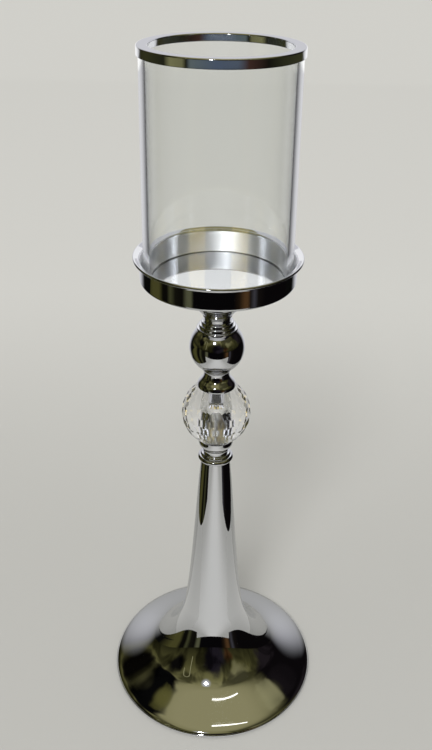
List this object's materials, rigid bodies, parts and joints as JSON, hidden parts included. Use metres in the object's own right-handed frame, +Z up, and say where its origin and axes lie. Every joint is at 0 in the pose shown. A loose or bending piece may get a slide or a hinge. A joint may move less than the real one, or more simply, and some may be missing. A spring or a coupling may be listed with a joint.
{
  "type": "candlestick",
  "caption": "Chromed candlestick: a spun trumpet foot and a turned column with a cut crystal ball carry a dish, where a candle stands inside a lift-off glass cylinder.",
  "frame": {"origin": "on the table, at the middle of the felt's lower face", "axes": "+Z up along the column; the shape is round about +Z"},
  "size_m": [0.16, 0.16, 0.4973],
  "materials": {
    "chrome": "polished chrome plate",
    "glass": "clear drawn tube",
    "crystal": "cut and polished",
    "sleeve_steel": "bright turned tube",
    "zinc_steel": "zinc plate",
    "cast_iron": "rough casting",
    "felt": "wool felt",
    "soft_washer": "soft clear plastic",
    "silicone": "clear silicone"
  },
  "bodies": {
    "column": {"felt_pad": "felt", "base_weight": "cast_iron", "rod_nut": "zinc_steel", "lock_washer": "zinc_steel", "rod_washer": "zinc_steel", "tie_rod": "zinc_steel", "stem_base": "chrome", "stem_collar": "chrome", "lower_neck": "chrome", "crystal_cup": "chrome", "lower_washer": "soft_washer", "crystal_ball": "crystal", "crystal_sleeve": "sleeve_steel", "upper_washer": "soft_washer", "crystal_cap": "chrome", "middle_neck": "chrome", "metal_ball": "chrome", "ball_collar": "chrome", "upper_neck": "chrome", "dish_support": "chrome", "dish_boss": "zinc_steel", "candle_dish": "chrome"},
    "shade": {"glass_cylinder": "glass", "rim_seal": "silicone", "rim_ring": "chrome"}
  },
  "joints": [
    {"name": "shade_lift", "type": "slide", "parent": "column", "child": "shade", "axis": [0, 0, 1], "range_m": [0, 0.17]}
  ]
}
